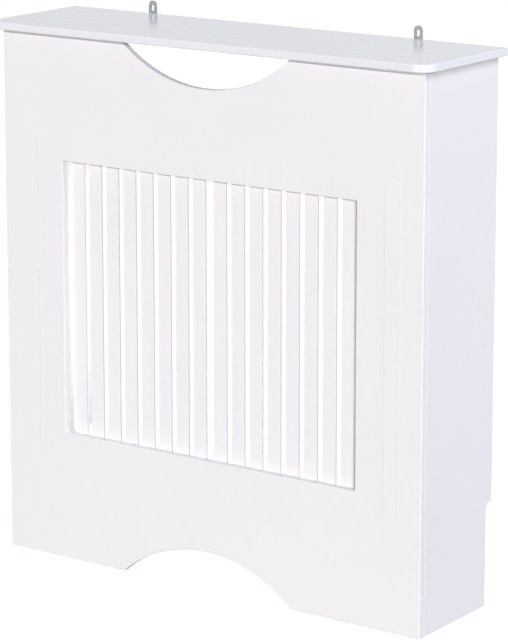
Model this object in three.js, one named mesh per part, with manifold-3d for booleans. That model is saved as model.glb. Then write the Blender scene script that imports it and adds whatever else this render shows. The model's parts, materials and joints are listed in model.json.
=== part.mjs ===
// Radiator cover cabinet: a painted board shell that stands round a radiator and hooks to the wall.
// Millimetres. X runs to the right seen from the front, Y runs back to the wall, Z runs up.
// The origin is on the floor, under the middle of the whole cabinet.
// Boards: a shelf on top, a front panel with a slatted grille, and two side panels. Nothing closes
// the back and the bottom, where the radiator and the wall are.

import * as THREE from "three";
import { mergeVertices } from "three/addons/utils/BufferGeometryUtils.js";
import Module from "manifold-3d";

const wasm = await Module();
wasm.setup();

// ---------- driving dimensions ----------

// The carcass
const cabinetHeight = 820;
const bodyWidth = 748;
const bodyDepth = 192;
const frontThickness = 12;
const sideThickness = 12;
const shelfThickness = 12;
const shelfSideOverhang = 16;
const shelfFrontOverhang = 20;
const shelfCornerRadius = 25;
const shelfArrisRadius = 2;
const boardArris = 1;

// The notch in the wall edge of each side, which clears a skirting board
const notchDepth = 15;
const notchHeight = 155;
const notchCornerRadius = 10;

// The curved cut-outs in the front panel
const upperArcRadius = 227;
const upperArcDrop = 58.5;
const lowerArchRadius = 232;
const lowerArchRise = 58;

// The grille
const openingSill = 198;
const openingHeight = 419;
const slatWidth = 23;
const slatThickness = 3;
const slatGap = 9;
const middleGap = 14;
const slatsPerHalf = 8;
const slatLap = 32;
const slatArris = 0.3;
const battenHeight = 26;
const battenThickness = 12;
const battenEndLap = 15;
const battenArris = 1;

// The flat strips on the face of the front panel, one on each side of the grille
const stripWidth = 23;
const stripThickness = 3;
const stripInset = 40.5;

// The bent steel brackets that hook the cabinet to the wall
const bracketOffset = 239;
const bracketWidth = 15;
const bracketThickness = 1.5;
const bracketRise = 19;
const bracketFootLength = 26;
const bracketBendRadius = 1;
const bracketFootCornerRadius = 3;
const slotWidth = 4.6;
const slotLength = 9.6;
const slotRise = 3;

// Screws
const screwShank = 3.5;
const screwTipLength = 3;
const battenScrewLength = 25;
const countersunkHead = 7;
const countersunkDepth = 2.2;
const footScrewLength = 10;
const panHead = 6.6;
const panHeadHeight = 2;
const footScrewFromWall = 9;
const footScrewSpacing = 10;

// Cam fittings and dowels at the corners
const camDiameter = 15;
const camHeight = 9.5;
const camSetback = 24;
const camDriveLength = 7;
const camDriveWidth = 1.4;
const camDriveDepth = 2;
const boltThreadDiameter = 6;
const boltThreadLength = 8;
const boltCollarDiameter = 7;
const boltCollarHeight = 1.5;
const boltNeckDiameter = 4;
const boltHeadDiameter = 6.4;
const boltHeadHeight = 3;
const dowelDiameter = 6;
const dowelLength = 28;
const dowelShortEnd = 8;
const dowelChamfer = 0.8;
const frontCamFromEnds = 110;
const frontDowelFromEnds = 240;
const topCamFromFront = 135;
const topDowelFromFront = 60;

// Clearances
const seatGap = 0.2;
const boreGap = 0.3;
const boreEndGap = 0.5;

// Facets of one turn
const arcFacets = 36;
const cornerFacets = 8;
const camFacets = 24;
const roundFacets = 16;
const screwFacets = 12;

// ---------- derived places ----------

const cabinetDepth = shelfFrontOverhang + bodyDepth + seatGap + bracketThickness;
const faceY = shelfFrontOverhang - cabinetDepth / 2;
const wallY = faceY + bodyDepth;
const frontBackY = faceY + frontThickness;
const sideFrontY = frontBackY + seatGap;
const shelfBottomZ = cabinetHeight - shelfThickness;
const boardTopZ = shelfBottomZ - seatGap;
const sideOuterX = bodyWidth / 2;
const sideMiddleX = sideOuterX - sideThickness / 2;
const sideInnerX = sideOuterX - sideThickness;

const slatPitch = slatWidth + slatGap;
const openingWidth = middleGap + 2 * slatsPerHalf * slatPitch;
const openingTopZ = openingSill + openingHeight;
const slatBottomZ = openingSill - slatLap;
const slatTopZ = openingTopZ + slatLap;
const slatFrontY = frontBackY + seatGap;
const battenFrontY = slatFrontY + slatThickness + seatGap;
const battenBackY = battenFrontY + battenThickness;
const battenBores = screwShank + 2 * boreGap;

const boltHoleDiameter = boltThreadDiameter + 2 * boreGap;
const boltPassDiameter = boltCollarDiameter + 2 * boreGap;
const dowelHoleDiameter = dowelDiameter + 2 * boreGap;

// The directions that boards and fittings face
const right = new THREE.Vector3(1, 0, 0);
const back = new THREE.Vector3(0, 1, 0);
const up = new THREE.Vector3(0, 0, 1);
const left = right.clone().negate();
const forward = back.clone().negate();
const down = up.clone().negate();

// ---------- materials ----------

function paint(name) {
  return new THREE.MeshStandardMaterial({ name, color: 0xf1f0f3, roughness: 0.45, metalness: 0 });
}

function metal(name, color, roughness) {
  return new THREE.MeshStandardMaterial({ name, color, roughness, metalness: 1 });
}

const whitePaint = paint("white_paint");
const slatPaint = paint("slat_paint");
const battenPaint = paint("batten_paint");
const bracketSteel = metal("bracket_steel", 0xb4b6b9, 0.35);
const screwSteel = metal("screw_steel", 0xa9abae, 0.4);
const camZinc = metal("cam_zinc", 0x9fa2a5, 0.5);
const beech = new THREE.MeshStandardMaterial({
  name: "beech",
  color: 0xd8b98c,
  roughness: 0.8,
  metalness: 0,
});

// ---------- solids ----------

function toSolid(geometry) {
  const bare = geometry.index ? geometry.toNonIndexed() : geometry.clone();
  bare.deleteAttribute("normal");
  bare.deleteAttribute("uv");
  const merged = mergeVertices(bare, 1e-4);
  return new wasm.Manifold(
    new wasm.Mesh({
      numProp: 3,
      vertProperties: new Float32Array(merged.attributes.position.array),
      triVerts: new Uint32Array(merged.index.array),
    }),
  );
}

function toGeometry(solid) {
  const mesh = solid.getMesh();
  const geometry = new THREE.BufferGeometry();
  geometry.setAttribute("position", new THREE.BufferAttribute(mesh.vertProperties, 3));
  geometry.setIndex(new THREE.BufferAttribute(mesh.triVerts, 1));
  geometry.computeVertexNormals();
  return geometry;
}

// The rotation that turns local Z to a direction, for pieces made along their own axis.
function turnTo(direction) {
  const turn = new THREE.Quaternion().setFromUnitVectors(up, direction);
  return new THREE.Matrix4().makeRotationFromQuaternion(turn);
}

// A board of the given outline and thickness, both of its faces with an eased arris.
function board(outline, thickness, arris, arrisSegments, curveSegments) {
  const geometry = new THREE.ExtrudeGeometry(outline, {
    depth: thickness - 2 * arris,
    bevelEnabled: true,
    bevelThickness: arris,
    bevelSize: arris,
    bevelOffset: -arris,
    bevelSegments: arrisSegments,
    curveSegments,
  });
  return geometry.translate(0, 0, arris);
}

// Stands an outline drawn as x and z upright, its thickness running back from y = 0.
function standFacingForward(geometry, thickness) {
  geometry.applyMatrix4(new THREE.Matrix4().makeBasis(right, up, forward));
  return geometry.translate(0, thickness, 0);
}

// Stands an outline drawn as y and z upright, its thickness running to the right from x = 0.
function standFacingRight(geometry) {
  return geometry.applyMatrix4(new THREE.Matrix4().makeBasis(back, up, right));
}

// A round bore from a point on a face into the board, with its mouth cut clear of the face.
function bore(diameter, depth, mouth, direction, facets) {
  const overcut = 1;
  const length = depth + overcut;
  const geometry = new THREE.CylinderGeometry(diameter / 2, diameter / 2, length, facets);
  geometry.rotateX(Math.PI / 2);
  geometry.translate(0, 0, length / 2 - overcut);
  geometry.applyMatrix4(turnTo(direction));
  geometry.translate(mouth.x, mouth.y, mouth.z);
  return toSolid(geometry);
}

function cutAll(solid, cutters) {
  return cutters.reduce((rest, cutter) => rest.subtract(cutter), solid);
}

// A turned piece: the profile's points are radius and height, from the axis out and back to it.
function turned(profile, facets) {
  const points = profile.map(([radius, height]) => new THREE.Vector2(radius, height));
  return new THREE.LatheGeometry(points, facets).rotateX(Math.PI / 2);
}

const cabinet = new THREE.Group();
cabinet.name = "radiator_cover";

function addPiece(name, geometry, material, place) {
  const mesh = new THREE.Mesh(geometry, material);
  mesh.name = name;
  if (place) mesh.position.copy(place);
  cabinet.add(mesh);
  return mesh;
}

// ---------- where the fasteners go ----------

// Each place holds the mouth on the board that takes the fixed end, and the way the piece points.
function cornerPlaces(side) {
  const x = side * sideMiddleX;
  const onFront = (z) => ({ mouth: new THREE.Vector3(x, frontBackY, z), direction: back });
  const onShelf = (fromFront) => ({
    mouth: new THREE.Vector3(x, faceY + fromFront, shelfBottomZ),
    direction: down,
  });
  return {
    cams: [
      onFront(frontCamFromEnds),
      onFront(boardTopZ - frontCamFromEnds),
      onShelf(topCamFromFront),
    ],
    dowels: [
      onFront(frontDowelFromEnds),
      onFront(boardTopZ - frontDowelFromEnds),
      onShelf(topDowelFromFront),
    ],
  };
}

const corners = [
  { name: "left", side: -1, ...cornerPlaces(-1) },
  { name: "right", side: 1, ...cornerPlaces(1) },
];

// The batten screws pass between the slats: at the middle, half way and at the ends of the grille.
function gapCentre(slatCount) {
  return middleGap / 2 + slatCount * slatPitch - slatGap / 2;
}

const halfwayGap = gapCentre(Math.floor(slatsPerHalf / 2));
const endGap = gapCentre(slatsPerHalf);
const battenScrewXs = [-endGap, -halfwayGap, 0, halfwayGap, endGap];

const battens = [
  { name: "upper", bottomZ: slatTopZ - battenHeight },
  { name: "lower", bottomZ: slatBottomZ },
];

function battenScrewPlaces(batten) {
  const z = batten.bottomZ + battenHeight / 2;
  return battenScrewXs.map((x) => new THREE.Vector3(x, battenBackY, z));
}

const brackets = [
  { name: "left", x: -bracketOffset },
  { name: "right", x: bracketOffset },
];

function footScrewPlaces(bracket) {
  const footBottomZ = shelfBottomZ - seatGap - bracketThickness;
  const ys = [wallY - footScrewFromWall, wallY - footScrewFromWall - footScrewSpacing];
  return ys.map((y) => new THREE.Vector3(bracket.x, y, footBottomZ));
}

// ---------- top shelf ----------

function shelfOutline() {
  const halfWidth = bodyWidth / 2 + shelfSideOverhang;
  const frontEdge = faceY - shelfFrontOverhang;
  const radius = shelfCornerRadius;
  const outline = new THREE.Shape();
  outline.moveTo(halfWidth, wallY);
  outline.lineTo(-halfWidth, wallY);
  outline.lineTo(-halfWidth, frontEdge + radius);
  outline.absarc(radius - halfWidth, frontEdge + radius, radius, Math.PI, 1.5 * Math.PI, false);
  outline.lineTo(halfWidth - radius, frontEdge);
  outline.absarc(halfWidth - radius, frontEdge + radius, radius, 1.5 * Math.PI, 2 * Math.PI, false);
  outline.closePath();
  return outline;
}

function makeShelf() {
  const blank = board(shelfOutline(), shelfThickness, shelfArrisRadius, 3, cornerFacets);
  blank.translate(0, 0, shelfBottomZ);
  const cutters = [];
  for (const corner of corners) {
    const boltMouth = corner.cams.find((place) => place.direction === down).mouth;
    const dowelMouth = corner.dowels.find((place) => place.direction === down).mouth;
    cutters.push(bore(boltHoleDiameter, boltThreadLength + boreEndGap, boltMouth, up, roundFacets));
    cutters.push(bore(dowelHoleDiameter, dowelShortEnd + boreEndGap, dowelMouth, up, roundFacets));
  }
  const pilotDepth = footScrewLength - bracketThickness - seatGap + boreEndGap;
  for (const bracket of brackets) {
    for (const place of footScrewPlaces(bracket)) {
      const mouth = place.clone().setZ(shelfBottomZ);
      cutters.push(bore(screwShank + 2 * boreGap, pilotDepth, mouth, up, screwFacets));
    }
  }
  return toGeometry(cutAll(toSolid(blank), cutters));
}

addPiece("top_shelf", makeShelf(), whitePaint);

// ---------- front panel ----------

function frontOutline() {
  const halfWidth = bodyWidth / 2;
  const archCentreZ = lowerArchRise - lowerArchRadius;
  const archHalfAngle = Math.acos(-archCentreZ / lowerArchRadius);
  const archHalfWidth = lowerArchRadius * Math.sin(archHalfAngle);
  const arcCentreZ = boardTopZ - upperArcDrop + upperArcRadius;
  const arcHalfAngle = Math.acos((arcCentreZ - boardTopZ) / upperArcRadius);
  const arcHalfWidth = upperArcRadius * Math.sin(arcHalfAngle);
  const quarter = Math.PI / 2;
  const outline = new THREE.Shape();
  outline.moveTo(-halfWidth, 0);
  outline.lineTo(-archHalfWidth, 0);
  outline.absarc(
    0, archCentreZ, lowerArchRadius, quarter + archHalfAngle, quarter - archHalfAngle, true,
  );
  outline.lineTo(halfWidth, 0);
  outline.lineTo(halfWidth, boardTopZ);
  outline.lineTo(arcHalfWidth, boardTopZ);
  outline.absarc(
    0, arcCentreZ, upperArcRadius, arcHalfAngle - quarter, -arcHalfAngle - quarter, true,
  );
  outline.lineTo(-halfWidth, boardTopZ);
  outline.closePath();
  outline.holes.push(grilleOpening());
  return outline;
}

function grilleOpening() {
  const opening = new THREE.Path();
  opening.moveTo(-openingWidth / 2, openingSill);
  opening.lineTo(-openingWidth / 2, openingTopZ);
  opening.lineTo(openingWidth / 2, openingTopZ);
  opening.lineTo(openingWidth / 2, openingSill);
  opening.closePath();
  return opening;
}

function makeFrontPanel() {
  const flat = board(frontOutline(), frontThickness, boardArris, 1, arcFacets);
  const blank = standFacingForward(flat, frontThickness).translate(0, faceY, 0);
  const cutters = [];
  for (const corner of corners) {
    for (const { mouth, direction } of corner.cams) {
      if (direction !== back) continue;
      const depth = boltThreadLength + boreEndGap;
      cutters.push(bore(boltHoleDiameter, depth, mouth, forward, roundFacets));
    }
    for (const { mouth, direction } of corner.dowels) {
      if (direction !== back) continue;
      const depth = dowelShortEnd + boreEndGap;
      cutters.push(bore(dowelHoleDiameter, depth, mouth, forward, roundFacets));
    }
  }
  const pilotDepth = battenScrewLength - (battenBackY - frontBackY) + boreEndGap;
  for (const batten of battens) {
    for (const place of battenScrewPlaces(batten)) {
      const mouth = place.clone().setY(frontBackY);
      cutters.push(bore(battenBores, pilotDepth, mouth, forward, screwFacets));
    }
  }
  return toGeometry(cutAll(toSolid(blank), cutters));
}

addPiece("front_panel", makeFrontPanel(), whitePaint);

// ---------- side panels ----------

function sideOutline() {
  const notchY = wallY - notchDepth;
  const outline = new THREE.Shape();
  outline.moveTo(sideFrontY, 0);
  outline.lineTo(notchY, 0);
  outline.lineTo(notchY, notchHeight - notchCornerRadius);
  outline.absarc(
    notchY + notchCornerRadius,
    notchHeight - notchCornerRadius,
    notchCornerRadius,
    Math.PI,
    Math.PI / 2,
    true,
  );
  outline.lineTo(wallY, notchHeight);
  outline.lineTo(wallY, boardTopZ);
  outline.lineTo(sideFrontY, boardTopZ);
  outline.closePath();
  return outline;
}

function makeSidePanel(corner) {
  const flat = board(sideOutline(), sideThickness, boardArris, 1, cornerFacets);
  const lowX = corner.side > 0 ? sideInnerX : -sideOuterX;
  const blank = standFacingRight(flat).translate(lowX, 0, 0);
  const outward = corner.side > 0 ? right : left;
  const innerFaceX = corner.side * sideInnerX;
  const cutters = [];
  for (const { mouth, direction } of corner.cams) {
    const centre = mouth.clone().addScaledVector(direction, camSetback);
    cutters.push(bore(boltPassDiameter, camSetback, mouth, direction, roundFacets));
    cutters.push(
      bore(
        camDiameter + 2 * boreGap,
        camHeight + boreEndGap,
        centre.setX(innerFaceX),
        outward,
        camFacets,
      ),
    );
  }
  const longEnd = dowelLength - dowelShortEnd;
  for (const { mouth, direction } of corner.dowels) {
    cutters.push(bore(dowelHoleDiameter, longEnd + boreEndGap, mouth, direction, roundFacets));
  }
  return toGeometry(cutAll(toSolid(blank), cutters));
}

for (const corner of corners) {
  addPiece(`${corner.name}_side_panel`, makeSidePanel(corner), whitePaint);
}

// ---------- grille slats and face strips ----------

// An upright strip with eased long edges, its front at y = 0 and its foot at z = 0.
function makeStrip(width, thickness, length) {
  const halfWidth = width / 2;
  const ease = slatArris;
  const section = new THREE.Shape();
  section.moveTo(ease - halfWidth, 0);
  section.lineTo(halfWidth - ease, 0);
  section.lineTo(halfWidth, ease);
  section.lineTo(halfWidth, thickness - ease);
  section.lineTo(halfWidth - ease, thickness);
  section.lineTo(ease - halfWidth, thickness);
  section.lineTo(-halfWidth, thickness - ease);
  section.lineTo(-halfWidth, ease);
  section.closePath();
  return new THREE.ExtrudeGeometry(section, { depth: length, bevelEnabled: false });
}

const slatLength = slatTopZ - slatBottomZ;

for (let index = 0; index < 2 * slatsPerHalf; index += 1) {
  const half = index < slatsPerHalf ? -1 : 1;
  const fromMiddle = half < 0 ? slatsPerHalf - 1 - index : index - slatsPerHalf;
  const x = half * (middleGap / 2 + fromMiddle * slatPitch + slatWidth / 2);
  const number = String(index + 1).padStart(2, "0");
  const slat = makeStrip(slatWidth, slatThickness, slatLength);
  addPiece(`slat_${number}`, slat, slatPaint, new THREE.Vector3(x, slatFrontY, slatBottomZ));
}

for (const { name, side } of corners) {
  const x = side * (bodyWidth / 2 - stripInset - stripWidth / 2);
  const y = faceY - seatGap - stripThickness;
  const strip = makeStrip(stripWidth, stripThickness, slatLength);
  addPiece(`${name}_face_strip`, strip, whitePaint, new THREE.Vector3(x, y, slatBottomZ));
}

// ---------- battens that clamp the ends of the slats ----------

function makeBatten(batten) {
  const halfLength = openingWidth / 2 + battenEndLap;
  const outline = new THREE.Shape();
  outline.moveTo(-halfLength, 0);
  outline.lineTo(halfLength, 0);
  outline.lineTo(halfLength, battenHeight);
  outline.lineTo(-halfLength, battenHeight);
  outline.closePath();
  const flat = board(outline, battenThickness, battenArris, 1, cornerFacets);
  const blank = standFacingForward(flat, battenThickness);
  blank.translate(0, battenFrontY, batten.bottomZ);
  const cutters = battenScrewPlaces(batten).flatMap((place) => [
    bore(battenBores, battenThickness + 1, place, forward, screwFacets),
    countersink(place),
  ]);
  return toGeometry(cutAll(toSolid(blank), cutters));
}

// The cone under a countersunk head, a clearance wider than the head all round.
function countersink(place) {
  const mouthRadius = countersunkHead / 2 + boreGap;
  const depth = countersunkDepth + boreGap;
  const cone = turned(
    [
      [0, -depth],
      [screwShank / 2 + boreGap, -depth],
      [mouthRadius, 0],
      [mouthRadius, 1],
      [0, 1],
    ],
    screwFacets,
  );
  cone.applyMatrix4(turnTo(back));
  return toSolid(cone.translate(place.x, place.y, place.z));
}

// A countersunk wood screw with its head at z = 0, pointing up.
function makeBattenScrew() {
  return turned(
    [
      [0, 0],
      [countersunkHead / 2, 0],
      [screwShank / 2, countersunkDepth],
      [screwShank / 2, battenScrewLength - screwTipLength],
      [0, battenScrewLength],
    ],
    screwFacets,
  );
}

for (const batten of battens) {
  addPiece(`${batten.name}_grille_batten`, makeBatten(batten), battenPaint);
  battenScrewPlaces(batten).forEach((place, index) => {
    const screw = makeBattenScrew().applyMatrix4(turnTo(forward));
    addPiece(`${batten.name}_batten_screw_${index + 1}`, screw, screwSteel, place);
  });
}

// ---------- wall brackets ----------

// The bent strip seen from the side, as y and z: a foot under the shelf and a tongue behind it.
function bracketSection() {
  const innerY = wallY + seatGap;
  const outerY = innerY + bracketThickness;
  const innerZ = shelfBottomZ - seatGap;
  const outerZ = innerZ - bracketThickness;
  const tongueTopZ = cabinetHeight + bracketRise;
  const inner = bracketBendRadius;
  const outer = bracketBendRadius + bracketThickness;
  const section = new THREE.Shape();
  section.moveTo(wallY - bracketFootLength, outerZ);
  section.lineTo(outerY - outer, outerZ);
  section.absarc(outerY - outer, outerZ + outer, outer, -Math.PI / 2, 0, false);
  section.lineTo(outerY, tongueTopZ);
  section.lineTo(innerY, tongueTopZ);
  section.lineTo(innerY, innerZ + inner);
  section.absarc(innerY - inner, innerZ + inner, inner, 0, -Math.PI / 2, true);
  section.lineTo(wallY - bracketFootLength, innerZ);
  section.closePath();
  return section;
}

// The tongue seen from behind, as x and z, with its round top.
function tongueOutline() {
  const radius = bracketWidth / 2;
  const topCentreZ = cabinetHeight + bracketRise - radius;
  const lowZ = shelfBottomZ - 2 * bracketWidth;
  const outline = new THREE.Shape();
  outline.moveTo(-radius, lowZ);
  outline.lineTo(radius, lowZ);
  outline.lineTo(radius, topCentreZ);
  outline.absarc(0, topCentreZ, radius, 0, Math.PI, false);
  outline.closePath();
  return outline;
}

// The foot seen from above, as x and y, with its front corners rounded.
function footOutline() {
  const halfWidth = bracketWidth / 2;
  const radius = bracketFootCornerRadius;
  const frontY = wallY - bracketFootLength;
  const backY = wallY + bracketWidth;
  const outline = new THREE.Shape();
  outline.moveTo(halfWidth, backY);
  outline.lineTo(-halfWidth, backY);
  outline.lineTo(-halfWidth, frontY + radius);
  outline.absarc(radius - halfWidth, frontY + radius, radius, Math.PI, 1.5 * Math.PI, false);
  outline.absarc(halfWidth - radius, frontY + radius, radius, 1.5 * Math.PI, 2 * Math.PI, false);
  outline.closePath();
  return outline;
}

// The long hole in the tongue, as x and z.
function slotOutline() {
  const radius = slotWidth / 2;
  const lowZ = cabinetHeight + slotRise + radius;
  const highZ = cabinetHeight + slotRise + slotLength - radius;
  const outline = new THREE.Shape();
  outline.absarc(0, highZ, radius, 0, Math.PI, false);
  outline.absarc(0, lowZ, radius, Math.PI, 2 * Math.PI, false);
  outline.closePath();
  return outline;
}

function prism(outline, length) {
  const options = { depth: length, bevelEnabled: false, curveSegments: cornerFacets };
  return new THREE.ExtrudeGeometry(outline, options);
}

function makeBracket(bracket) {
  const strip = standFacingRight(prism(bracketSection(), bracketWidth));
  const reach = 4 * bracketWidth;
  const tongue = standFacingForward(prism(tongueOutline(), reach), 0);
  tongue.translate(0, wallY + reach / 2, 0);
  const foot = prism(footOutline(), reach).translate(0, 0, shelfBottomZ - reach / 4);
  const slot = standFacingForward(prism(slotOutline(), reach), 0);
  slot.translate(0, wallY + reach / 2, 0);
  const bent = toSolid(strip.translate(-bracketWidth / 2, 0, 0));
  const shaped = bent.intersect(toSolid(tongue)).intersect(toSolid(foot));
  const holes = footScrewPlaces({ x: 0 }).map((place) =>
    bore(screwShank + 2 * boreGap, bracketThickness + 1, place, up, screwFacets),
  );
  return toGeometry(cutAll(shaped, [toSolid(slot), ...holes])).translate(bracket.x, 0, 0);
}

// A pan-head screw with the underside of its head at z = 0, pointing up.
function makeFootScrew() {
  return turned(
    [
      [0, -panHeadHeight],
      [panHead / 2 - panHeadHeight / 2, -panHeadHeight],
      [panHead / 2, -panHeadHeight / 2],
      [panHead / 2, 0],
      [screwShank / 2, 0],
      [screwShank / 2, footScrewLength - screwTipLength],
      [0, footScrewLength],
    ],
    screwFacets,
  );
}

for (const bracket of brackets) {
  addPiece(`${bracket.name}_wall_bracket`, makeBracket(bracket), bracketSteel);
  footScrewPlaces(bracket).forEach((place, index) => {
    const seat = place.clone().addScaledVector(down, seatGap);
    addPiece(`${bracket.name}_bracket_screw_${index + 1}`, makeFootScrew(), screwSteel, seat);
  });
}

// ---------- cam fittings and dowels ----------

// A cam lock with its drive face at z = 0 and its body pointing up. Its channel opens towards +X,
// where the bolt comes in, and runs out of its blind end.
function makeCam() {
  const body = new THREE.CylinderGeometry(camDiameter / 2, camDiameter / 2, camHeight, camFacets);
  body.rotateX(Math.PI / 2).translate(0, 0, camHeight / 2);
  const channelWidth = boltHeadDiameter + 2 * boreGap;
  const channelLow = sideThickness / 2 - channelWidth / 2;
  const channelHeight = camHeight - channelLow + 1;
  const channelBack = boltHeadHeight / 2 + boreGap;
  const channelLength = channelBack + camDiameter;
  const channel = new THREE.BoxGeometry(channelLength, channelWidth, channelHeight);
  channel.translate(channelLength / 2 - channelBack, 0, channelLow + channelHeight / 2);
  const cross = [0, Math.PI / 2].map((angle) => {
    const blade = new THREE.BoxGeometry(camDriveLength, camDriveWidth, 2 * camDriveDepth);
    return toSolid(blade.rotateZ(angle + Math.PI / 4));
  });
  return toGeometry(cutAll(toSolid(body), [toSolid(channel), ...cross]));
}

// A cam bolt: the thread goes down into its board, the neck and head stand up from z = 0.
function makeCamBolt() {
  const headLow = camSetback - boltHeadHeight / 2;
  return turned(
    [
      [0, -boltThreadLength],
      [boltThreadDiameter / 2, -boltThreadLength],
      [boltThreadDiameter / 2, 0],
      [boltCollarDiameter / 2, seatGap],
      [boltCollarDiameter / 2, seatGap + boltCollarHeight],
      [boltNeckDiameter / 2, seatGap + boltCollarHeight],
      [boltNeckDiameter / 2, headLow],
      [boltHeadDiameter / 2, headLow],
      [boltHeadDiameter / 2, headLow + boltHeadHeight],
      [0, headLow + boltHeadHeight],
    ],
    roundFacets,
  );
}

// A dowel with chamfered ends: its short end goes down into its board.
function makeDowel() {
  const radius = dowelDiameter / 2;
  const top = dowelLength - dowelShortEnd;
  return turned(
    [
      [0, -dowelShortEnd],
      [radius - dowelChamfer, -dowelShortEnd],
      [radius, dowelChamfer - dowelShortEnd],
      [radius, top - dowelChamfer],
      [radius - dowelChamfer, top],
      [0, top],
    ],
    roundFacets,
  );
}

// The rotation that sets a cam in a side panel: its body into the board, its channel to the bolt.
function camTurn(side, boltDirection) {
  const into = side > 0 ? right : left;
  const toBolt = boltDirection.clone().negate();
  const across = into.clone().cross(toBolt);
  return new THREE.Matrix4().makeBasis(toBolt, across, into);
}

for (const corner of corners) {
  corner.cams.forEach(({ mouth, direction }, index) => {
    const centre = mouth.clone().addScaledVector(direction, camSetback);
    centre.setX(corner.side * sideInnerX);
    const cam = makeCam().applyMatrix4(camTurn(corner.side, direction));
    addPiece(`${corner.name}_cam_${index + 1}`, cam, camZinc, centre);
    const bolt = makeCamBolt().applyMatrix4(turnTo(direction));
    addPiece(`${corner.name}_cam_bolt_${index + 1}`, bolt, screwSteel, mouth);
  });
  corner.dowels.forEach(({ mouth, direction }, index) => {
    const dowel = makeDowel().applyMatrix4(turnTo(direction));
    addPiece(`${corner.name}_dowel_${index + 1}`, dowel, beech, mouth);
  });
}

export default cabinet;
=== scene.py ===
"""Looks of the radiator cover cabinet: paint, metal, small fasteners, light, floor and camera.

Metres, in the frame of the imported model: X to the right, Y back to the wall, Z up.
"""

import json
import math

import bmesh
import bpy
from mathutils import Matrix, Vector


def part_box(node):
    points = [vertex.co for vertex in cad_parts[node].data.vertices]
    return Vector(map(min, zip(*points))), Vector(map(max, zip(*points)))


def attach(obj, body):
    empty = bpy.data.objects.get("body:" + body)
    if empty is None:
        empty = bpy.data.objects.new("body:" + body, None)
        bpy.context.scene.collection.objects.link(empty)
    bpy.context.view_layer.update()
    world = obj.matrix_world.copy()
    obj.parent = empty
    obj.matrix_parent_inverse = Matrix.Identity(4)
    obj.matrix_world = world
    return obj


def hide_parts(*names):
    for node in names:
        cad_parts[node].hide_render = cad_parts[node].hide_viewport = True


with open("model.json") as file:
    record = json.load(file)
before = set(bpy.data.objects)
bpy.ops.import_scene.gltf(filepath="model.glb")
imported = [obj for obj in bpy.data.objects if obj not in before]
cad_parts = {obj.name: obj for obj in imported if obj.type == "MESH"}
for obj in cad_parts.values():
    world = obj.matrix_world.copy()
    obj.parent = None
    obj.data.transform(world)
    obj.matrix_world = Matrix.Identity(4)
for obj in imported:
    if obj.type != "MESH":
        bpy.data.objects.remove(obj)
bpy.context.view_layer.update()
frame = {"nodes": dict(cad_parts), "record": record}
nodes = frame["nodes"]
scene = bpy.context.scene

MM = 0.001
WHITE = (1.0, 1.0, 1.0)

# ---------- node helpers ----------

# How far a noise's features are drawn out along X, Y and Z.
EVEN = (1.0, 1.0, 1.0)
UPRIGHT = (1.0, 1.0, 40.0)
ALONG_BENCH = (40.0, 1.0, 1.0)
ALONG_DEPTH = (1.0, 14.0, 1.0)

# Between these lie nearly all the values of a noise.
NOISE_LOW = 0.3
NOISE_HIGH = 0.7


def new_material(name):
    """An empty node material: its tree, and its Principled shader already joined to the output."""
    material = bpy.data.materials.new(name)
    material.use_nodes = True
    tree = material.node_tree
    tree.nodes.clear()
    shader = tree.nodes.new("ShaderNodeBsdfPrincipled")
    output = tree.nodes.new("ShaderNodeOutputMaterial")
    tree.links.new(shader.outputs["BSDF"], output.inputs["Surface"])
    return material, tree, shader


def noise(tree, scale, detail, stretch=EVEN):
    """A noise in the object's own metres, with about that many features in a metre."""
    place = tree.nodes.new("ShaderNodeTexCoord")
    mapping = tree.nodes.new("ShaderNodeMapping")
    mapping.inputs["Scale"].default_value = [1.0 / factor for factor in stretch]
    texture = tree.nodes.new("ShaderNodeTexNoise")
    texture.inputs["Scale"].default_value = scale
    texture.inputs["Detail"].default_value = detail
    tree.links.new(place.outputs["Object"], mapping.inputs["Vector"])
    tree.links.new(mapping.outputs["Vector"], texture.inputs["Vector"])
    return texture.outputs["Fac"]


def spread(tree, factor, low, high):
    """Maps the values of a noise to low..high."""
    node = tree.nodes.new("ShaderNodeMapRange")
    node.inputs["From Min"].default_value = NOISE_LOW
    node.inputs["From Max"].default_value = NOISE_HIGH
    node.inputs["To Min"].default_value = low
    node.inputs["To Max"].default_value = high
    tree.links.new(factor, node.inputs["Value"])
    return node.outputs["Result"]


def tint(tree, shader, factor, dark, light):
    """Colours a surface between two tones, by a noise."""
    node = tree.nodes.new("ShaderNodeMix")
    node.data_type = "RGBA"
    node.inputs["A"].default_value = (*dark, 1.0)
    node.inputs["B"].default_value = (*light, 1.0)
    tree.links.new(spread(tree, factor, 0.0, 1.0), node.inputs["Factor"])
    tree.links.new(node.outputs["Result"], shader.inputs["Base Color"])


def bump(tree, shader, height, depth, before=None):
    """A relief of the given depth, in metres, laid over an earlier one."""
    node = tree.nodes.new("ShaderNodeBump")
    node.inputs["Strength"].default_value = 1.0
    node.inputs["Distance"].default_value = depth
    tree.links.new(height, node.inputs["Height"])
    if before is not None:
        tree.links.new(before.outputs["Normal"], node.inputs["Normal"])
    tree.links.new(node.outputs["Normal"], shader.inputs["Normal"])
    return node


def either(tree, first, second):
    """1 where at least one of two yes-or-no values is 1."""
    node = tree.nodes.new("ShaderNodeMath")
    node.operation = "MAXIMUM"
    tree.links.new(first, node.inputs[0])
    tree.links.new(second, node.inputs[1])
    return node.outputs[0]


# ---------- materials ----------

# The sizes of the marks in each surface, as features in a metre.
PAINT_MOTTLE = 9.0
PAINT_SHEEN_PATCHES = 26.0
PAINT_PEEL = 420.0
PAINT_SPRAY = 1500.0
METAL_SCRATCHES = 3000.0
METAL_DIMPLES = 900.0
BEECH_GRAIN = 900.0

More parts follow.
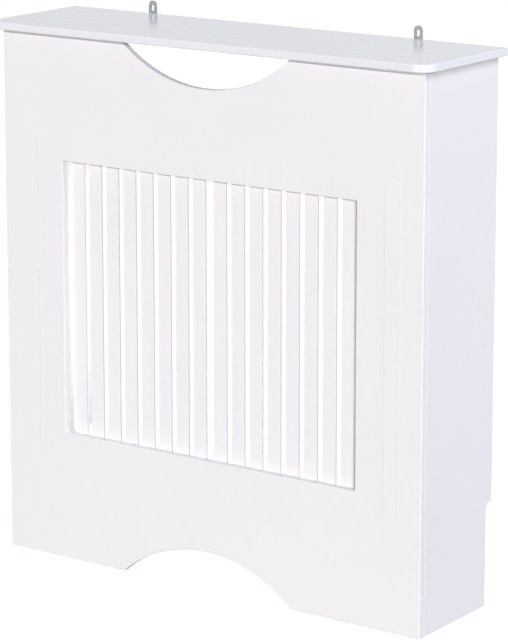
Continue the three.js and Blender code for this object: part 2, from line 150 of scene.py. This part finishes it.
PAINT_IOR = 1.48
SHEEN_SMOOTHER = 0.04
SHEEN_ROUGHER = 0.05
METAL_RELIEF = 0.006 * MM
BEECH_RELIEF = 0.05 * MM
BEECH_ROUGHNESS = 0.7
BEECH_DARK = (0.55, 0.37, 0.2)
BEECH_LIGHT = (0.68, 0.5, 0.3)


def paint(name, light, dark, roughness, grain, peel):
    """Satin white paint over fibreboard: a faint mottle, a fine spray texture and a soft sheen.

    peel: how far the coat's own unevenness stands out, in metres.
    """
    material, tree, shader = new_material(name)
    tint(tree, shader, noise(tree, PAINT_MOTTLE, 3.0), dark, light)
    patches = noise(tree, PAINT_SHEEN_PATCHES, 3.0)
    sheen = spread(tree, patches, roughness - SHEEN_SMOOTHER, roughness + SHEEN_ROUGHER)
    tree.links.new(sheen, shader.inputs["Roughness"])
    relief = bump(tree, shader, noise(tree, PAINT_PEEL, 2.0), peel)
    bump(tree, shader, noise(tree, PAINT_SPRAY, 1.0, grain), peel / 3, relief)
    shader.inputs["IOR"].default_value = PAINT_IOR
    return material


def plated(name, light, dark, smoothest, roughest, spangle, scratch):
    """Plated or cast metal: cloudy tone, uneven gloss and fine drawing marks.

    spangle: how many clouds lie in a metre.
    scratch: the way in which the drawing marks run.
    """
    material, tree, shader = new_material(name)
    tint(tree, shader, noise(tree, spangle, 3.0), dark, light)
    gloss = spread(tree, noise(tree, spangle * 2.0, 2.0), smoothest, roughest)
    tree.links.new(gloss, shader.inputs["Roughness"])
    relief = bump(tree, shader, noise(tree, METAL_SCRATCHES, 1.0, scratch), METAL_RELIEF)
    bump(tree, shader, noise(tree, METAL_DIMPLES, 2.0), METAL_RELIEF, relief)
    shader.inputs["Metallic"].default_value = 1.0
    return material


def bare_beech(name):
    """Bare beech: pale grain along the depth of the cabinet."""
    material, tree, shader = new_material(name)
    grain = noise(tree, BEECH_GRAIN, 3.0, ALONG_DEPTH)
    tint(tree, shader, grain, BEECH_DARK, BEECH_LIGHT)
    shader.inputs["Roughness"].default_value = BEECH_ROUGHNESS
    bump(tree, shader, grain, BEECH_RELIEF)
    return material


finishes = {
    "painted_board": paint(
        "painted_board",
        light=(0.875, 0.86, 0.885),
        dark=(0.86, 0.845, 0.87),
        roughness=0.38,
        grain=EVEN,
        peel=0.01 * MM,
    ),
    "painted_slat": paint(
        "painted_slat",
        light=(0.885, 0.87, 0.895),
        dark=(0.87, 0.855, 0.88),
        roughness=0.42,
        grain=UPRIGHT,
        peel=0.012 * MM,
    ),
    "painted_batten": paint(
        "painted_batten",
        light=(0.84, 0.825, 0.845),
        dark=(0.82, 0.805, 0.825),
        roughness=0.5,
        grain=ALONG_BENCH,
        peel=0.015 * MM,
    ),
    "bracket_steel": plated(
        "bracket_steel",
        light=(0.42, 0.43, 0.45),
        dark=(0.35, 0.36, 0.38),
        smoothest=0.34,
        roughest=0.42,
        spangle=160.0,
        scratch=UPRIGHT,
    ),
    "screw_steel": plated(
        "screw_steel",
        light=(0.6, 0.6, 0.6),
        dark=(0.46, 0.46, 0.47),
        smoothest=0.24,
        roughest=0.38,
        spangle=500.0,
        scratch=EVEN,
    ),
    "cam_zinc": plated(
        "cam_zinc",
        light=(0.5, 0.51, 0.53),
        dark=(0.4, 0.41, 0.42),
        smoothest=0.42,
        roughest=0.6,
        spangle=400.0,
        scratch=EVEN,
    ),
    "beech": bare_beech("beech"),
}

# The shelf's coat is smoother than the boards', and mirrors the brackets. It is the boards' white
# paint in a darker, bluer tone: painted shade for the dimmer light on the shelf's top.
shaded_shelf_coat = paint(
    "shelf_paint_with_painted_shade",
    light=(0.83, 0.835, 0.875),
    dark=(0.823, 0.828, 0.868),
    roughness=0.16,
    grain=EVEN,
    peel=0.001 * MM,
)

# ---------- the solids' finishes and rounded edges ----------

WELD_REACH = 0.002 * MM
FLAT_FACE_ANGLE = math.radians(0.2)
EDGE_ROUNDING = 0.3 * MM
EDGE_SEGMENTS = 2
EDGE_ANGLE = math.radians(25)

slot_of = {row["node"]: row["material_slot"] for row in frame["record"]["subparts"]}


def dress(node):
    """Gives a solid its finish, rounded edges and flat shading.

    Its coplanar facets are joined first, so that only its true edges are rounded.
    """
    obj = nodes[node]
    obj.data.materials.clear()
    # The top shelf takes the boards' paint, darkened and cooled as painted shade on its top.
    obj.data.materials.append(shaded_shelf_coat if node == "top_shelf" else finishes[slot_of[node]])
    weld = obj.modifiers.new("weld", "WELD")
    weld.merge_threshold = WELD_REACH
    flat = obj.modifiers.new("flat_faces", "DECIMATE")
    flat.decimate_type = "DISSOLVE"
    flat.angle_limit = FLAT_FACE_ANGLE
    edges = obj.modifiers.new("soft_edges", "BEVEL")
    edges.width = EDGE_ROUNDING
    edges.segments = EDGE_SEGMENTS
    edges.limit_method = "ANGLE"
    edges.angle_limit = EDGE_ANGLE
    for polygon in obj.data.polygons:
        polygon.use_smooth = False


for node in nodes:
    if "screw" not in node and "face_strip" not in node:
        dress(node)

# ---------- mesh helpers ----------


def bridge(mesh, loops):
    """Faces between each closed loop of points and the next."""
    for nearer, farther in zip(loops, loops[1:]):
        count = len(nearer)
        for index in range(count):
            after = (index + 1) % count
            mesh.faces.new((nearer[index], nearer[after], farther[after], farther[index]))


def mesh_data(mesh, name):
    """Turns a closed mesh outwards and stores it."""
    bmesh.ops.recalc_face_normals(mesh, faces=mesh.faces)
    data = bpy.data.meshes.new(name)
    mesh.to_mesh(data)
    mesh.free()
    return data


# ---------- face strips ----------

STRIP_PROUD = 0.8 * MM
STRIP_EASE = 0.2 * MM
SHADOW_GAP = 0.35 * MM
SHADOW_GAP_DEPTH = 0.8 * MM


def put_face_strip(node):
    """A strip glued to the face, thinner than its solid, with a fine shadow gap round its foot."""
    low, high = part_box(node)
    face = high.y
    levels = [
        (face - STRIP_PROUD, STRIP_EASE),
        (face - STRIP_PROUD + STRIP_EASE, 0.0),
        (face - SHADOW_GAP, 0.0),
        (face - SHADOW_GAP, SHADOW_GAP_DEPTH),
        (face, SHADOW_GAP_DEPTH),
    ]
    mesh = bmesh.new()
    loops = []
    for y, inset in levels:
        left, right = low.x + inset, high.x - inset
        bottom, top = low.z + inset, high.z - inset
        corners = [(left, bottom), (right, bottom), (right, top), (left, top)]
        loops.append([mesh.verts.new((x, y, z)) for x, z in corners])
    bridge(mesh, loops)
    mesh.faces.new(loops[0])
    mesh.faces.new(loops[-1])
    data = mesh_data(mesh, node + "_detail")
    data.materials.append(finishes["painted_board"])
    strip = bpy.data.objects.new(node + "_detail", data)
    scene.collection.objects.link(strip)
    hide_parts(node)
    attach(strip, "root")


for node in sorted(nodes):
    if "face_strip" in node:
        put_face_strip(node)

# ---------- screws ----------

SEGMENTS = 24
SHADING_ANGLE = math.radians(32)
THREAD_RADIUS = 1.75 * MM
CORE_RADIUS = THREAD_RADIUS * 0.78
NECK_RADIUS = 1.4 * MM
THREAD_PITCH = 1.3 * MM
THREAD_FROM_HEAD = 0.4 * MM
RINGS_PER_TURN = 6
RIDGE_STEEPNESS = 4.0
TIP_LENGTH = 3 * MM

# The cross recess, from its floor up: share of the arms' reach, their width, and the depth.
RECESS_FLOOR = 1.5 * MM
RECESS_LEVELS = [
    (0.45, 0.5 * MM, RECESS_FLOOR),
    (0.94, 0.85 * MM, 0.25 * MM),
    (1.0, 1.0 * MM, 0.0),
]

# Where the arms' ends and roots lie, as shares of the reach, and the corner between two arms,
# as a share of half the width.
ARM_END = 0.97
ARM_ROOT = 0.55
ARM_CORNER = 1.35


def ring_point(radius, angle, height):
    return Vector((radius * math.cos(angle), radius * math.sin(angle), height))


def circle(radius, height):
    angles = [index * 2 * math.pi / SEGMENTS for index in range(SEGMENTS)]
    return [ring_point(radius, angle, height) for angle in angles]


def cross_outline(reach, width, depth):
    """The 24 points of a cross recess, in the order of the 24 segments of a turn."""
    half = width / 2
    corner = half * ARM_CORNER
    end, root = reach * ARM_END, reach * ARM_ROOT
    arm = [(reach, 0.0), (end, half), (root, half), (corner, corner), (half, root), (half, end)]
    points = []
    for quarter in range(4):
        turn = Matrix.Rotation(quarter * math.pi / 2, 3, "Z")
        points += [turn @ Vector((x, y, depth)) for x, y in arm]
    return points


def thread(start, end, tip):
    """Rings of a helical thread that grows in from the start and runs out to a point at the tip."""
    rings = []
    step = THREAD_PITCH / RINGS_PER_TURN
    count = int(round((tip - start) / step))
    for index in range(count):
        height = start + index * step
        grow = min(1.0, index / RINGS_PER_TURN)
        taper = 1.0 if height < end else (tip - height) / (tip - end)
        ring = []
        for segment in range(SEGMENTS):
            share = segment / SEGMENTS
            phase = (height / THREAD_PITCH - share) % 1.0
            ridge = max(0.0, 1.0 - abs(phase - 0.5) * RIDGE_STEEPNESS)
            radius = (CORE_RADIUS + (THREAD_RADIUS - CORE_RADIUS) * ridge * grow) * taper
            ring.append(ring_point(radius, share * 2 * math.pi, height))
        rings.append(ring)
    return rings


def skin(name, rings, first_centre, last_centre):
    """A closed mesh through rings of points, closed by a fan at each end."""
    mesh = bmesh.new()
    loops = [[mesh.verts.new(point) for point in ring] for ring in rings]
    bridge(mesh, loops)
    for loop, centre in ((loops[0], first_centre), (loops[-1], last_centre)):
        middle = mesh.verts.new(centre)
        for index in range(SEGMENTS):
            mesh.faces.new((middle, loop[(index + 1) % SEGMENTS], loop[index]))
    data = mesh_data(mesh, name)
    data.set_sharp_from_angle(angle=SHADING_ANGLE)
    return data


def screw_mesh(name, head, length, recess_reach):
    """A cross-headed wood screw along +Z with the top of its head at z = 0.

    head: (radius, height) pairs from the top's rim down to the neck.
    """
    rings = [
        cross_outline(recess_reach * share, width, depth)
        for share, width, depth in RECESS_LEVELS
    ]
    rings += [circle(radius, height) for radius, height in head]
    neck_height = head[-1][1]
    rings += thread(neck_height + THREAD_FROM_HEAD, length - TIP_LENGTH, length)
    data = skin(name, rings, Vector((0, 0, RECESS_FLOOR)), Vector((0, 0, length)))
    data.materials.append(finishes["screw_steel"])
    return data


def put_screw(node, data, place, direction):
    """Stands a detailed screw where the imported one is, its head's top at that place."""
    screw = bpy.data.objects.new(node + "_detail", data)
    scene.collection.objects.link(screw)
    turn = Vector((0, 0, 1)).rotation_difference(direction)
    screw.matrix_world = Matrix.Translation(place) @ turn.to_matrix().to_4x4()
    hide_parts(node)
    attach(screw, "root")


countersunk = screw_mesh(
    "countersunk_screw",
    head=[
        (3.1 * MM, 0.0),
        (3.42 * MM, 0.1 * MM),
        (3.42 * MM, 0.3 * MM),
        (THREAD_RADIUS, 2.2 * MM),
        (NECK_RADIUS, 2.5 * MM),
    ],
    length=25 * MM,
    recess_reach=2.1 * MM,
)
pan = screw_mesh(
    "pan_head_screw",
    head=[
        (2.1 * MM, 0.0),
        (2.7 * MM, 0.3 * MM),
        (3.1 * MM, 0.8 * MM),
        (3.3 * MM, 1.4 * MM),
        (3.3 * MM, 1.9 * MM),
        (3.2 * MM, 2.0 * MM),
        (THREAD_RADIUS, 2.0 * MM),
        (NECK_RADIUS, 2.2 * MM),
    ],
    length=12 * MM,
    recess_reach=1.9 * MM,
)

for node in sorted(nodes):
    low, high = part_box(node)
    centre = (low + high) / 2
    if "batten_screw" in node:
        put_screw(node, countersunk, Vector((centre.x, high.y, centre.z)), Vector((0, -1, 0)))
    elif "bracket_screw" in node:
        put_screw(node, pan, Vector((centre.x, centre.y, low.z)), Vector((0, 0, 1)))

# ---------- floor and world ----------

FLOOR_HALF_SIDE = 14.0
FLOOR_COLOUR = (0.35, 0.35, 0.355)
FLOOR_GLOW = 0.86
WORLD_COLOUR = (0.91, 0.945, 1.0)
WORLD_STRENGTH = 0.235


def with_glow(tree, shader_output, strength):
    """Adds plain white to a surface, for the camera and for reflections only."""
    path = tree.nodes.new("ShaderNodeLightPath")
    seen = either(tree, path.outputs["Is Camera Ray"], path.outputs["Is Glossy Ray"])
    share = tree.nodes.new("ShaderNodeMath")
    share.operation = "MULTIPLY"
    share.inputs[1].default_value = strength
    tree.links.new(seen, share.inputs[0])
    glow = tree.nodes.new("ShaderNodeEmission")
    tree.links.new(share.outputs[0], glow.inputs["Strength"])
    both = tree.nodes.new("ShaderNodeAddShader")
    tree.links.new(shader_output, both.inputs[0])
    tree.links.new(glow.outputs["Emission"], both.inputs[1])
    return both.outputs["Shader"]


def make_floor():
    """A wide floor that shows white, so that only shadows mark it."""
    side = FLOOR_HALF_SIDE
    mesh = bmesh.new()
    corners = [(-side, -side), (side, -side), (side, side), (-side, side)]
    mesh.faces.new([mesh.verts.new((x, y, 0.0)) for x, y in corners])
    data = bpy.data.meshes.new("floor")
    mesh.to_mesh(data)
    mesh.free()
    floor = bpy.data.objects.new("floor", data)
    scene.collection.objects.link(floor)
    material = bpy.data.materials.new("floor")
    material.use_nodes = True
    tree = material.node_tree
    tree.nodes.clear()
    diffuse = tree.nodes.new("ShaderNodeBsdfDiffuse")
    diffuse.inputs["Color"].default_value = (*FLOOR_COLOUR, 1.0)
    output = tree.nodes.new("ShaderNodeOutputMaterial")
    lit = with_glow(tree, diffuse.outputs["BSDF"], FLOOR_GLOW)
    tree.links.new(lit, output.inputs["Surface"])
    data.materials.append(material)


def make_world():
    """Even studio light, and white where the camera or a reflection sees past the floor."""
    world = bpy.data.worlds.new("studio")
    world.use_nodes = True
    scene.world = world
    tree = world.node_tree
    tree.nodes.clear()
    path = tree.nodes.new("ShaderNodeLightPath")
    seen = path.outputs["Is Camera Ray"]
    for kind in ("Is Glossy Ray", "Is Transmission Ray"):
        seen = either(tree, seen, path.outputs[kind])
    light = tree.nodes.new("ShaderNodeBackground")
    light.inputs["Color"].default_value = (*WORLD_COLOUR, 1.0)
    light.inputs["Strength"].default_value = WORLD_STRENGTH
    white = tree.nodes.new("ShaderNodeBackground")
    white.inputs["Color"].default_value = (*WHITE, 1.0)
    choose = tree.nodes.new("ShaderNodeMixShader")
    tree.links.new(seen, choose.inputs["Fac"])
    tree.links.new(light.outputs["Background"], choose.inputs[1])
    tree.links.new(white.outputs["Background"], choose.inputs[2])
    output = tree.nodes.new("ShaderNodeOutputWorld")
    tree.links.new(choose.outputs["Shader"], output.inputs["Surface"])


make_floor()
make_world()

# ---------- lamps ----------

CABINET_MIDDLE = (0, 0, 0.42)
SOFT_BOX = (2.0, 2.0)
SUN_SPREAD = math.radians(1.5)


def lamp(name, place, target, size, power, colour):
    """A soft rectangular lamp at a place, turned to the target. Its size is width and height."""
    data = bpy.data.lights.new(name, "AREA")
    data.shape = "RECTANGLE"
    data.size, data.size_y = size
    data.energy = power
    data.color = colour
    obj = bpy.data.objects.new(name, data)
    obj.location = place
    aim = Vector(target) - Vector(place)
    obj.rotation_euler = aim.to_track_quat("-Z", "Y").to_euler()
    obj.visible_camera = False
    scene.collection.objects.link(obj)


def sun(name, azimuth, elevation, strength):
    """A far white lamp, that many degrees right of the front and above the floor."""
    data = bpy.data.lights.new(name, "SUN")
    data.energy = strength
    data.angle = SUN_SPREAD
    obj = bpy.data.objects.new(name, data)
    across, height = math.radians(azimuth), math.radians(elevation)
    towards = Vector(
        (
            math.sin(across) * math.cos(height),
            -math.cos(across) * math.cos(height),
            math.sin(height),
        )
    )
    obj.rotation_euler = towards.to_track_quat("Z", "Y").to_euler()
    scene.collection.objects.link(obj)


lamp(
    "low_front_lamp",
    place=(-0.5, -6.0, 0.6),
    target=CABINET_MIDDLE,
    size=SOFT_BOX,
    power=98,
    colour=(1.0, 0.915, 0.87),
)
lamp(
    "right_lamp",
    place=(4.2, 0.3, 3.6),
    target=(0.37, 0, 0.6),
    size=SOFT_BOX,
    power=119,
    colour=(0.87, 0.9, 1.0),
)
lamp(
    "rear_lamp",
    place=(-0.8, 6.0, 0.6),
    target=CABINET_MIDDLE,
    size=SOFT_BOX,
    power=190,
    colour=WHITE,
)
lamp(
    "inner_lamp",
    place=(-0.2, 0.075, 0.41),
    target=(-0.36, 0.075, 0.41),
    size=(0.06, 0.5),
    power=0.38,
    colour=(1.0, 1.0, 0.97),
)
sun("key_sun", azimuth=46, elevation=13, strength=1.5)
sun("left_sun", azimuth=-8, elevation=19, strength=0.74)

# ---------- camera ----------

CAMERA_PLACE = Vector((2.4733, -3.41565, 1.4086))
CAMERA_PITCH = 0.20555
CAMERA_ROLL = -0.00036781
CAMERA_YAW = 0.62175
LENS_MM = 165.13
SENSOR_WIDTH_MM = 36.0
LENS_SHIFT_UP = -0.1406
FARTHEST_SEEN = 100.0


def make_camera():
    """The camera of the photograph, its angles in radians."""
    forward = Vector(
        (
            -math.sin(CAMERA_YAW) * math.cos(CAMERA_PITCH),
            math.cos(CAMERA_YAW) * math.cos(CAMERA_PITCH),
            -math.sin(CAMERA_PITCH),
        )
    )
    level_right = Vector((math.cos(CAMERA_YAW), math.sin(CAMERA_YAW), 0.0))
    level_up = level_right.cross(forward)
    cam_right = math.cos(CAMERA_ROLL) * level_right + math.sin(CAMERA_ROLL) * level_up
    cam_up = math.cos(CAMERA_ROLL) * level_up - math.sin(CAMERA_ROLL) * level_right
    turn = Matrix((cam_right, cam_up, -forward)).transposed()
    data = bpy.data.cameras.new("camera")
    data.lens = LENS_MM
    data.sensor_width = SENSOR_WIDTH_MM
    data.shift_y = LENS_SHIFT_UP
    data.clip_end = FARTHEST_SEEN
    camera = bpy.data.objects.new("camera", data)
    camera.matrix_world = Matrix.Translation(CAMERA_PLACE) @ turn.to_4x4()
    scene.collection.objects.link(camera)
    scene.camera = camera


make_camera()
scene.view_settings.view_transform = "Standard"
